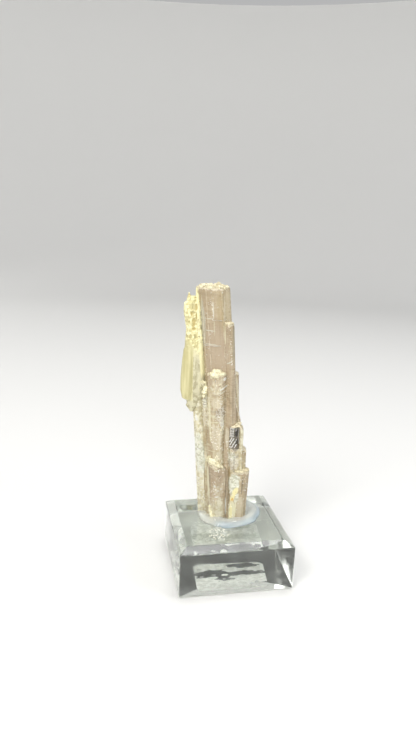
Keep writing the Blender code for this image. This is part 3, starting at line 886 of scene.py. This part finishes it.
# middle (across, deep, height), radii, turn in degrees, and tone from 0, cream, to 1, beige
crustLumps = (
    ((-6.15, 2.4, 66.75), (4.6, 4.15, 0.75), (0, 0, 0), 0.7),
    ((-4.9, 1.6, 67.5), (0.8, 0.7, 0.65), (0, 0, 0), 0.7),
    ((-1.5, -0.1, 57.4), (1.45, 1.6, 0.4), (0, 0, 0), 0.9),
    ((-4.1, -0.75, 43.5), (2.65, 2.2, 1.3), (0, 0, 0), 0.35),
    ((-5.7, -1.7, 18.9), (0.8, 0.7, 1.0), (0, 0, 0), 0.3),
    ((-4.9, -1.9, 18.6), (1.05, 0.8, 1.05), (0, 20, 0), 0.3),
    ((-3.9, -2.1, 18.0), (1.05, 0.75, 0.9), (0, 25, 0), 0.4),
    ((-3.0, -2.25, 17.5), (0.95, 0.7, 0.7), (0, 25, 0), 0.5),
    ((-2.2, -2.3, 17.0), (0.6, 0.6, 0.5), (0, 20, 0), 0.6),
    ((-3.8, -2.25, 0.8), (1.1, 0.45, 1.8), (0, -18, 0), 0.15),
    ((-4.6, -1.75, 3.4), (0.5, 0.5, 1.9), (0, -16, 0), 0.15),
    ((-7.9, -0.2, 40.3), (0.8, 0.8, 1.1), (0, 0, 0), 0.0),
    ((-7.3, -0.5, 38.7), (0.85, 0.8, 1.2), (0, 10, 0), 0.0),
    ((-7.6, -0.6, 37.2), (0.6, 0.5, 0.8), (0, 0, 0), 0.0),
    ((2.9, 0.0, 15.6), (3.2, 2.6, 0.35), (0, 0, 0), 0.9),
    ((3.0, -2.0, 15.8), (1.1, 0.5, 0.35), (0, 8, 0), 0.5),
    ((1.4, 0.1, 29.2), (2.1, 2.3, 0.3), (18, 7, 0), 1.0),
    ((-8.9, 2.0, 28.8), (1.3, 1.4, 0.9), (0, 0, 0), 0.3),
)
# pits that stand out: across, height, half width, half height, and whether they are rusty
crustPits = (
    (-10.4, 61.6, 0.35, 0.8, 1), (-11.0, 60.0, 0.4, 0.35, 0), (-11.7, 59.8, 0.35, 0.6, 1),
    (-11.0, 57.4, 0.45, 1.5, 1), (-10.9, 55.7, 0.6, 0.5, 1), (-11.9, 53.6, 0.4, 0.5, 0),
    (-10.4, 53.4, 0.35, 0.4, 0), (-12.4, 63.4, 0.35, 0.5, 0), (-12.9, 53.5, 0.3, 0.5, 0),
    (-11.4, 61.2, 0.25, 0.5, 0), (-10.3, 59.0, 0.22, 0.9, 1), (-12.8, 58.0, 0.22, 0.4, 0),
)


def crustBodyMesh(deep, squareness, rows):
    # rings through the listed rows, read in straight lines between them; across a ring each of
    # cosine and sine keeps its sign and takes the squareness as its power
    settings = crustSettings
    listed = np.array(rows)
    level = np.arange(listed[0, 0], listed[-1, 0], settings["rowStep"])
    level = np.concatenate([level[:1], level, [listed[-1, 0]], [listed[-1, 0]]])
    left, right, half = (np.interp(level, listed[:, 0], listed[:, i])[:, None] for i in (1, 2, 3))
    shrink = np.ones(len(level))[:, None]
    shrink[0] = shrink[-1] = 0
    angle = anglesRound(settings["columns"])[None]
    across, back = (np.sign(wave) * np.abs(wave) ** squareness for wave in (np.cos(angle), np.sin(angle)))
    return ringMesh(ontoBase(np.stack([
        (left + right) / 2 + shrink * (right - left) / 2 * across,
        deep + shrink * half * back,
        level[:, None] * np.ones_like(angle)], -1)))


def crustLumpMeshes(order, middle, radii, turn, tone):
    # an uneven core, and blocky crumbs set at random in the ellipsoid's outer part; their number
    # is the ellipsoid's volume over that of a crumb
    settings = crustSettings
    rng = np.random.default_rng(100 + order)
    radii = np.asarray(radii)
    matrix = np.array(Euler(np.radians(turn)).to_matrix())

    def swell(outward):
        return 0.15 * smoothNoise(outward + order * 7.1, 0.7, 3, 3)
    meshes = [ballMesh(middle, radii * settings["core"], 17, 32, swell, np.radians(turn))]
    size = np.clip(settings["blockSize"] * radii.min(), *settings["blockLimits"])
    for number in range(int(settings["blockNumber"] * np.prod(radii) / size ** 3)):
        aim = rng.normal(size=3)
        place = aim / np.linalg.norm(aim) * rng.uniform(0.55, 0.92) * radii
        block = size * rng.uniform(0.5, 0.9) * rng.uniform(0.7, 1.3, 3)
        meshes.append(ballMesh(middle + matrix @ place, block, 9, 12, blocky, rng.uniform(0, 3, 3)))
    return meshes


def buildCrust(material):
    # the bodies and the lumps are fused by a voxel remesh; then each point moves along its normal:
    # outwards by folded noise, the grains, and inwards at the pits
    settings = crustSettings
    meshes = [crustBodyMesh(*body) for body in crustBodies.values()]
    for order, lump in enumerate(crustLumps):
        meshes += crustLumpMeshes(order, *lump)
    whole = addPiece("crust", joinedMesh(meshes), material)
    fuse = whole.modifiers.new("fuse", "REMESH")
    fuse.mode = "VOXEL"
    fuse.voxel_size = settings["voxel"] * mm
    mesh = finishedMesh(whole)
    points, normals = (readAll(mesh.vertices, name, np.float32, 3) for name in ("co", "normal"))
    points = points / mm
    own = offBase(points)
    across, deep, up = own.T
    border, lean, height = settings["border"]
    fade = {name: smoothStep(low, high, across if name.startswith("to") else up)
            for name, (low, high) in crustFades.items()}
    fromBorder = across - border - lean * (up - height)
    onSide = smoothStep(0.9, 0.5, fromBorder) * fade["sideFoot"] * fade["sideTop"]
    onSide = np.where(up > settings["capFrom"], onSide * fade["toCap"], onSide)
    away = np.stack([np.linalg.norm((own - lump[0]) / lump[1], axis=1) for lump in crustLumps])
    tone = np.array([lump[3] for lump in crustLumps])[away.argmin(axis=0)]
    onSide = onSide * smoothStep(1.0, 1.25, away.min(axis=0))
    high = up + 1.5 * smoothNoise(points, 2.0, 33, 2) + 0.6 * (across + 11)
    pitted = smoothStep(settings["pitsFrom"] - 3, settings["pitsFrom"] + 2, high)
    smooth = onSide * fade["toPrism"] * fade["prismTop"] * fade["prismFoot"]
    # edge: a pale line along the right border, a painted highlight over the shade in the gap beside it
    edge = onSide * smoothStep(-0.75, -0.4, fromBorder) * fade["litEdgeFoot"]
    # pits that are not rusty, and the pitted upper part, are coloured darker as painted shade; rust is the
    # pits' own colour
    rust, hollow = np.zeros(len(points)), np.zeros(len(points))
    raggedness = 0.5 * smoothNoise(points, 0.7, 91, 2)
    for pitAcross, pitUp, halfWide, halfHigh, rusty in crustPits:
        away = np.hypot((across - pitAcross) / halfWide, (up - pitUp) / halfHigh) + raggedness
        pit = smoothStep(1.35, 0.6, away) * onSide * smoothStep(2.5, 1.0, deep)
        rust = np.maximum(rust, pit * rusty)
        hollow = np.maximum(hollow, pit * (1 - rusty))
    broad = smoothNoise(points * (1, 1, 0.6), settings["pitSize"], 77, 3)
    small = smoothNoise(points, settings["smallPits"], 53, 2)
    for depth, noise, least in ((0.8, broad, 0.2), (0.7, small, 0.28)):
        hollow = np.maximum(hollow, depth * smoothStep(least, 0.5, noise) * onSide * pitted * (1 - rust))
    glassy = onSide * (1 - pitted) * (1 - smooth)
    grain = 0.5 - np.abs(smoothNoise(points, settings["grainSize"], 61, 3))
    streaks = smoothNoise(points * (1, 1, 0.04), 0.7, 15, 2)
    move = settings["grainHeight"] * (grain - 0.25) * (1 - 0.85 * smooth) * (1 + 0.8 * pitted * onSide)
    move = move - settings["pitDepth"] * np.maximum(rust, 0.8 * hollow) + 0.05 * streaks * smooth
    move = move * (1 - 0.75 * glassy) + 0.06 * glassy * smoothNoise(points * (1, 1, 0.06), 0.8, 44, 2)
    mesh.vertices.foreach_set("co", ((points + normals * move[:, None]) * mm).astype(np.float32).ravel())
    for name, share in zip(settings["shares"], (onSide, rust, hollow, smooth, glassy, edge, tone)):
        layer = mesh.attributes.new(name, "FLOAT", "POINT")
        layer.data.foreach_set("value", share.astype(np.float32))
    mesh.update()
    showPiece("pale_crust", mesh, material)


def crustMaterial():
    material, shader, place = newMaterial("paleCrust", crustSettings)
    side, rust, hollow, smooth, glassy, edge, tone = (
        addNode("Attribute", {}, shader.id_data, attribute_name=name).outputs["Fac"]
        for name in crustSettings["shares"])
    capGrains = grainsAt(place, 0.0005, (0.80, 0.77, 0.55), (0.53, 0.49, 0.31))
    beige = grainsAt(place, 0.0005, (0.56, 0.50, 0.35), (0.39, 0.34, 0.22))
    sideGrains = grainsAt(place, 0.0007, (0.78, 0.74, 0.44), (0.52, 0.47, 0.24))
    glassGrains = grainsAt(place, 0.0008, (0.52, 0.49, 0.34), (0.35, 0.32, 0.20))
    streaks = noiseAt(place, (900, 900, 60), 3, 0.6)
    colour = blend(tone, capGrains["Colour"], beige["Colour"])
    for share, over in (
            (side, sideGrains["Colour"]),
            (glassy, blend(ramp(streaks, 0.5, 0.62), glassGrains["Colour"], (0.58, 0.55, 0.38))),
            (smooth, blend(ramp(streaks, 0.3, 0.7), (0.42, 0.38, 0.19), (0.58, 0.54, 0.31))),
            # edge: the painted highlight along the side crystal's right border
            # the shaded hollows are darkened: painted shade
            (edge, (0.78, 0.74, 0.45)), (times(hollow, 0.7), (0.36, 0.31, 0.15)),
            (rust, (0.44, 0.36, 0.15))):
        colour = blend(share, colour, over)
    fillInputs(shader, {"Base Color": colour, "Roughness": ramp(smooth, 0.0, 1.0, 0.6, 0.35)})
    addBump(shader, plus(capGrains["Height"], sideGrains["Height"]), 0.00006)
    return material


# Crumbs that fell on the base

crumbSettings = {
    "middle": (-4.0, -8.5),
    "step": (0.68, 0.9),
    "rows": 9,
    "size": (0.1, 0.2),
    "shader": {"Roughness": 0.3, "IOR": 1.6},
    "grains": (0.0006, (0.98, 0.97, 0.92), (0.9, 0.87, 0.72)),
}


def buildCrumbs(material):
    # balls of few faces, pressed unevenly, resting on the deck. They stand on a grid whose places
    # are shifted at random by up to half a step, within a circle of the grid
    settings = crumbSettings
    rng = np.random.default_rng(8)
    half = (settings["rows"] - 1) / 2
    meshes = []
    for cell in itertools.product(range(settings["rows"]), repeat=2):
        cell = np.array(cell) - half + rng.uniform(-0.5, 0.5, 2)
        size = rng.uniform(*settings["size"]) * rng.uniform(0.75, 1.0, 3)
        if np.hypot(*cell) <= half:
            x, y = np.asarray(settings["middle"]) + cell * settings["step"]
            middle = offBase((x, y, deck + size[2] * 0.9))
            meshes.append(ballMesh(middle, size, 5, 7, blocky, rng.uniform(0, 3, 3)))
    showPiece("fallen_crumbs", joinedMesh(meshes), material, 20)


def crumbMaterial():
    material, shader, place = newMaterial("crumbs", crumbSettings)
    fillInputs(shader, {"Base Color": grainsAt(place, *crumbSettings["grains"])["Colour"]})
    return material


# Putty

puttySettings = {
    "middle": (0.3, 4.0),
    "radii": (9.4, 9.4),
    "height": 1.5,
    "rimWide": 0.2,          # the rounded rim's share of the radius
    "dip": 1.05,
    "meniscus": (0.25, 0.5),  # how high and how wide it climbs the crystals
    "columns": 220,
    "topRings": 72,
    "flatTo": 0.97,
    "underside": -0.04,
    "least": 0.02,
    "wave": 0.03,
    "raggedness": 0.02,
    "uneven": 0.07,
    "shader": {"Transmission Weight": 0.66, "IOR": 1.46, "Roughness": 0.1},
    "absorption": ((0.86, 0.93, 1.0), 40.0),
}


def clearOfCrystals(across, deep):
    # how far a spot on the deck is outside the nearest crystal's foot, millimetres
    apart = np.full(across.shape, 100.0)
    for foot, tip, height, half, *rest in list(crystals.values()) + [gem]:
        ratio = np.hypot((across - foot[0]) / half[0], (deep - foot[1]) / half[1])
        apart = np.minimum(apart, (ratio - crystalSettings["footShare"]) * min(half))
    return np.clip(apart, 0, None)


def buildPutty(material):
    # a puddle on polar rings: flat below, its rim a quarter ellipse, dished inside the rim and
    # climbing the crystals by a falling exponential of the distance to them
    settings = puttySettings
    rimWide, topRings = settings["rimWide"], settings["topRings"]
    rim = 1 - rimWide * (1 - np.sin(np.linspace(-0.9, math.pi / 2, 10)))
    flat = np.linspace(0, settings["flatTo"], 8)
    share = np.concatenate([flat, rim[rim > flat[-1]], np.linspace(1 - 1e-3, 0, topRings)])
    angle = anglesRound(settings["columns"])
    circle = np.stack([np.cos(angle), np.sin(angle), np.full_like(angle, 0.5)], -1)
    wave = 1 + settings["wave"] * (np.sin(3 * angle + 0.8) + 0.5 * np.sin(7 * angle))
    wave = wave + settings["raggedness"] * smoothNoise(circle * 3, 1.0, 19, 2)
    across, deep = (middle + radius * wave * side * share[:, None] for middle, radius, side in zip(
        settings["middle"], settings["radii"], (np.cos(angle), np.sin(angle))))
    apart = clearOfCrystals(across, deep)
    inRim = np.clip((share - 1 + rimWide) / rimWide, 0, 1)[:, None]
    bulge = np.sqrt(np.clip(1 - inRim ** 2.4, 0, 1))
    dish = settings["dip"] * smoothStep(1 - rimWide * 1.2, 0.45, share)[:, None]
    climb = settings["meniscus"][0] * np.exp(-apart / settings["meniscus"][1])
    spots = np.stack([across, deep, np.zeros_like(across)], -1)
    uneven = settings["uneven"] * smoothNoise(spots, 2.2, 25, 2) * (1 - inRim)
    top = settings["height"] * bulge - dish + climb * (1 - inRim) + uneven
    under = np.arange(len(share)) < len(share) - topRings
    level = np.where(under[:, None], settings["underside"], np.maximum(top, settings["least"]))
    near = np.maximum(np.exp(-apart / 1.1), 0.95 * smoothStep(0.1, -0.8, np.cos(angle)))
    outer = smoothStep(0.82, 0.98, share)[:, None] * smoothStep(-0.9, -0.2, np.cos(angle))
    pair = [np.concatenate([values, values[:, :1]], 1) for values in (near, outer)]
    mesh = ringMesh(ontoBase(np.stack([across, deep, level], -1)), {"near": pair})
    showPiece("putty_puddle", mesh, material, None, "mounting_putty")


def puttyMaterial():
    material, shader, place = newMaterial("clearPutty", puttySettings)
    cloud = noiseAt(place, (260, 260, 260), 4, 0.6)
    near, outer = partsOf(mapOf(shader, "near"))[:2]
    clouded = blend(ramp(cloud, 0.3, 0.7), (0.80, 0.83, 0.81), (0.92, 0.93, 0.89))
    rimmed = blend(outer, clouded, (0.52, 0.63, 0.72))
    worn = useGroup("handling", {"Place": place, "Polished": 0.1, "Dull": 0.28})
    fillInputs(shader, {"Base Color": blend(near, rimmed, (0.99, 0.99, 0.92)),
                        "Roughness": worn["Roughness"]})
    addBump(shader, cloud, 0.0002)
    return material


# Base

baseSettings = {
    "wall": 12.3,
    "bevelIn": 2.4,
    "corner": 0.28,          # radius of the upright edges
    "edge": 0.2,             # how far the other edges are rounded
    "shader": {"Transmission Weight": 0.985, "IOR": 1.49, "Base Color": (0.93, 0.95, 0.91)},
    "absorption": ((0.82, 0.93, 0.82), 6.0),
    "arcPoints": 6,
}
squareCorners = np.array([(1, 1), (-1, 1), (-1, -1), (1, -1)])


def roundedProfile(points, radius, steps=4):
    # each inner corner of a line is replaced by the curve (1-t)^2 a + 2t(1-t) corner + t^2 b
    # between the points a and b that lie the radius away from it along both its sides
    points = np.asarray(points, float)
    made = [points[:1]]
    share = np.linspace(0, 1, steps + 1)[:, None]
    for corner, *ends in zip(points[1:], points, points[2:]):
        a, b = (corner + (end - corner) / np.linalg.norm(end - corner) * radius for end in ends)
        made.append((1 - share) ** 2 * a + 2 * share * (1 - share) * corner + share ** 2 * b)
    return np.concatenate(made + [points[-1:]])


def buildBase(material):
    # a profile of insets and heights carried round a square whose corners are small arcs
    settings = baseSettings
    half = (baseHigh.x - baseLow.x) / 2
    low, top = baseLow.z, baseHigh.z
    profile = roundedProfile(((half, low), (0, low), (0, low + settings["wall"]),
                              (settings["bevelIn"], top), (half, top)), settings["edge"])
    arc = np.linspace(0, math.pi / 2, settings["arcPoints"])
    angle = np.concatenate([arc + turn * math.pi / 2 for turn in range(4)])
    reach = (half - profile[:, 0])[:, None, None]
    radius = np.minimum(reach, settings["corner"])
    spot = np.repeat(squareCorners, len(arc), axis=0) * (reach - radius) + circleAt(angle) * radius
    spot[0] = spot[-1] = 0
    level = np.broadcast_to(profile[:, 1][:, None, None], (*spot.shape[:2], 1))
    mesh = ringMesh(np.concatenate([spot, level], -1))
    showPiece("clear_base", mesh, material, 25, "acrylic_base")


def acrylicMaterial():
    material, shader, place = newMaterial("clearAcrylic", baseSettings)
    worn = useGroup("handling", {"Place": place, "Polished": 0.03, "Dull": 0.16})
    fillInputs(shader, {"Roughness": worn["Roughness"]})
    addBump(shader, plus(noiseAt(place, (500, 500, 120)), times(worn["Height"], 0.4)), 0.00001)
    return material


# Label

labelSettings = {
    "wide": 19.8,
    "long": 19.8,
    "corner": 2.4,
    "middle": (0.1, -2.7),
    "turn": math.radians(-3.5),
    "stuck": 0.02,           # how far its top reaches into the base where it is stuck
    "loose": 0.12,           # and how far below the base it lies where it has come away
    "shader": {"Roughness": 0.55, "IOR": 1.45},
    "grains": (0.0008, (0.90, 0.91, 0.88), (0.70, 0.71, 0.67)),
    "arcPoints": 9,
    "columns": 240,
    "rings": 60,
}
# where it has come away, and two spots within that where it is stuck again: middle and radii
looseAreas = (
    ((-6.2, 0.4), (3.6, 3.0)), ((-1.6, -1.0), (3.0, 3.8)), ((3.6, 5.0), (5.2, 1.6)),
    ((4.6, -0.6), (4.8, 1.9)), ((8.0, -10.2), (3.4, 1.9)),
)
stuckSpots = (((1.6, 1.9), (2.8, 1.4)), ((-1.4, -1.3), (1.2, 0.7)))


def insideAny(ovals, x, y, ragged):
    # 1 inside any of the ellipses, 0 outside; noise is added to the distance in half widths
    away = [np.hypot((x - middle[0]) / radii[0], (y - middle[1]) / radii[1]) for middle, radii in ovals]
    return smoothStep(1.08, 0.92, np.min(away, axis=0) + ragged)


def buildLabel(material):
    # a rounded rectangle shrunk ring by ring to its middle, top and bottom. Its top lies in the
    # base, but below it in the loose areas
    settings = labelSettings
    arc = np.linspace(0, math.pi / 2, settings["arcPoints"])
    half = np.array([settings["wide"], settings["long"]]) / 2 - settings["corner"]
    outline = np.concatenate([corner * half + settings["corner"] * circleAt(arc + turn)
                              for corner, turn in zip(squareCorners, np.arange(4) * math.pi / 2)])
    ring = evenSteps(outline, settings["columns"])[0][:-1]
    share = np.concatenate([[0, 1, 1], np.linspace(1, 0, settings["rings"])])
    flat = ring[None] * share[:, None, None]
    spots = np.concatenate([flat, np.zeros((*flat.shape[:2], 1))], -1)
    ragged = sum(0.5 * smoothNoise(spots * (0.45, 1, 1), *noise) for noise in ((2.4, 4, 3), (0.8, 14, 2)))
    x, y, level = np.moveaxis(turned(spots, settings["turn"], 0), -1, 0)
    x, y = x + settings["middle"][0], y + settings["middle"][1]
    loose = insideAny(looseAreas, x, y, ragged) * (1 - insideAny(stuckSpots, x, y, ragged))
    level = baseLow.z + settings["stuck"] - (settings["stuck"] + settings["loose"]) * loose
    level[:2] = labelLow.z
    mesh = ringMesh(np.stack([x, y, level], -1))
    showPiece("blank_label", mesh, material, 40, "base_label")


def labelMaterial():
    material, shader, place = newMaterial("whiteLabel", labelSettings)
    grains = grainsAt(place, *labelSettings["grains"])
    torn = ramp(noiseAt(place, (300, 900, 400), 6, 0.75), 0.52, 0.6)
    grey = times(torn, ramp(noiseAt(place, (60, 170, 100)), 0.45, 0.6))
    fillInputs(shader, {"Base Color": blend(times(grey, 0.35), grains["Colour"], (0.2, 0.21, 0.19))})
    addBump(shader, grains["Height"], 0.00003)
    return material


# Stage, light and camera

stageSettings = {
    "flatRadius": 0.6,
    "curveRadius": 0.35,
    "wallHeight": 0.45,
    "columns": 96,
    "shader": {"Base Color": (0.66, 0.66, 0.65), "Roughness": 0.7},
}
# place, size, power, colour
lights = {
    "key": ((-0.42, -0.4, 0.6), 0.36, 5.0, (1.0, 0.98, 0.95)),
    "fill": ((0.5, -0.32, 0.4), 0.4, 1.6, (0.96, 0.98, 1.0)),
    "front": ((-0.05, -0.6, 0.3), 0.3, 1.4, (1.0, 0.99, 0.97)),
    "top": ((0.05, 0.08, 0.75), 0.45, 3.6, (1.0, 1.0, 1.0)),
    "rim": ((-0.26, 0.62, 0.26), 0.2, 0.26, (1.0, 1.0, 0.97)),
}
# share of the way from the horizon straight up, brightness
skySettings = ((0.0, 0.47), (0.42, 0.47), (0.5, 0.05), (0.8, 0.06), (0.92, 0.5), (1.0, 0.5))
cameraSettings = {
    "place": (-0.03689, -0.15207, 0.09794),
    "aim": (-0.00659, 0.0016, 0.05853),
    "roll": 1.94,
    "focalLength": 28.72,
    "sensor": 36.0,
}


def aimed(place, aim):
    return (Vector(aim) - Vector(place)).to_track_quat("-Z", "Y")


def buildStage():
    # a flat disc whose edge curves up in a quarter circle into a low wall: a profile carried round
    settings = stageSettings
    bend = np.linspace(0, math.pi / 2, 17)
    flat, curve = settings["flatRadius"], settings["curveRadius"]
    inner = np.concatenate([[0, 0.1, 0.3], flat + curve * np.sin(bend), [flat + curve]])[:, None]
    rise = np.concatenate([[0, 0, 0], curve * (1 - np.cos(bend)), [settings["wallHeight"]]])[:, None]
    angle = -anglesRound(settings["columns"])
    grid = np.stack([inner * np.cos(angle), inner * np.sin(angle), rise * np.ones_like(angle)], -1) / mm
    addPiece("floor", ringMesh(grid, openTop=True), newMaterial("floor", settings)[0])


def buildLights():
    for name, (place, size, power, colour) in lights.items():
        lamp = bpy.data.lights.new(name, "AREA")
        lamp.shape = "DISK"
        lamp.size = size
        lamp.energy = power
        lamp.color = colour
        thing = addObject(name, lamp)
        thing.location = place
        thing.rotation_euler = aimed(place, (0, 0, 0.04)).to_euler()
    world = bpy.data.worlds.new("studio")
    world.use_nodes = True
    upward = partsOf(addNode("TexCoord", {}, world.node_tree).outputs["Generated"])[2]
    sky = addNode("ValToRGB", {0: upward})
    shades = sky.color_ramp
    while len(shades.elements) < len(skySettings):
        shades.elements.new(0.5)
    for element, (share, brightness) in zip(shades.elements, skySettings):
        element.position = share
        element.color = (brightness, brightness, brightness * 1.01, 1)
    fillInputs(world.node_tree.nodes["Background"], {"Color": sky.outputs[0]})
    bpy.context.scene.world = world
    bpy.context.scene.view_settings.view_transform = "Standard"


def buildCamera():
    settings = cameraSettings
    camera = bpy.data.cameras.new("camera")
    camera.lens = settings["focalLength"]
    camera.sensor_width = settings["sensor"]
    camera.clip_start = 0.01
    thing = addObject("camera", camera)
    thing.location = settings["place"]
    thing.rotation_mode = "QUATERNION"
    roll = Quaternion((0, 0, 1), math.radians(settings["roll"]))
    thing.rotation_quaternion = aimed(settings["place"], settings["aim"]) @ roll
    bpy.context.scene.camera = thing


print("stage, light and camera")
buildStage()
buildLights()
buildCamera()
print("base, label and putty")
buildBase(acrylicMaterial())
buildLabel(labelMaterial())
buildPutty(puttyMaterial())
print("crystals")
buildCrystals(crystalMaterial())
showPiece("clear_crystal", crystalMesh(gemOrder, *gem), gemMaterial(), 32)
crackAndGlintWhite = veilMaterial()
buildVeils(crackAndGlintWhite)
buildGlints(crackAndGlintWhite)
print("crust and crumbs")
buildCrust(crustMaterial())
buildCrumbs(crumbMaterial())
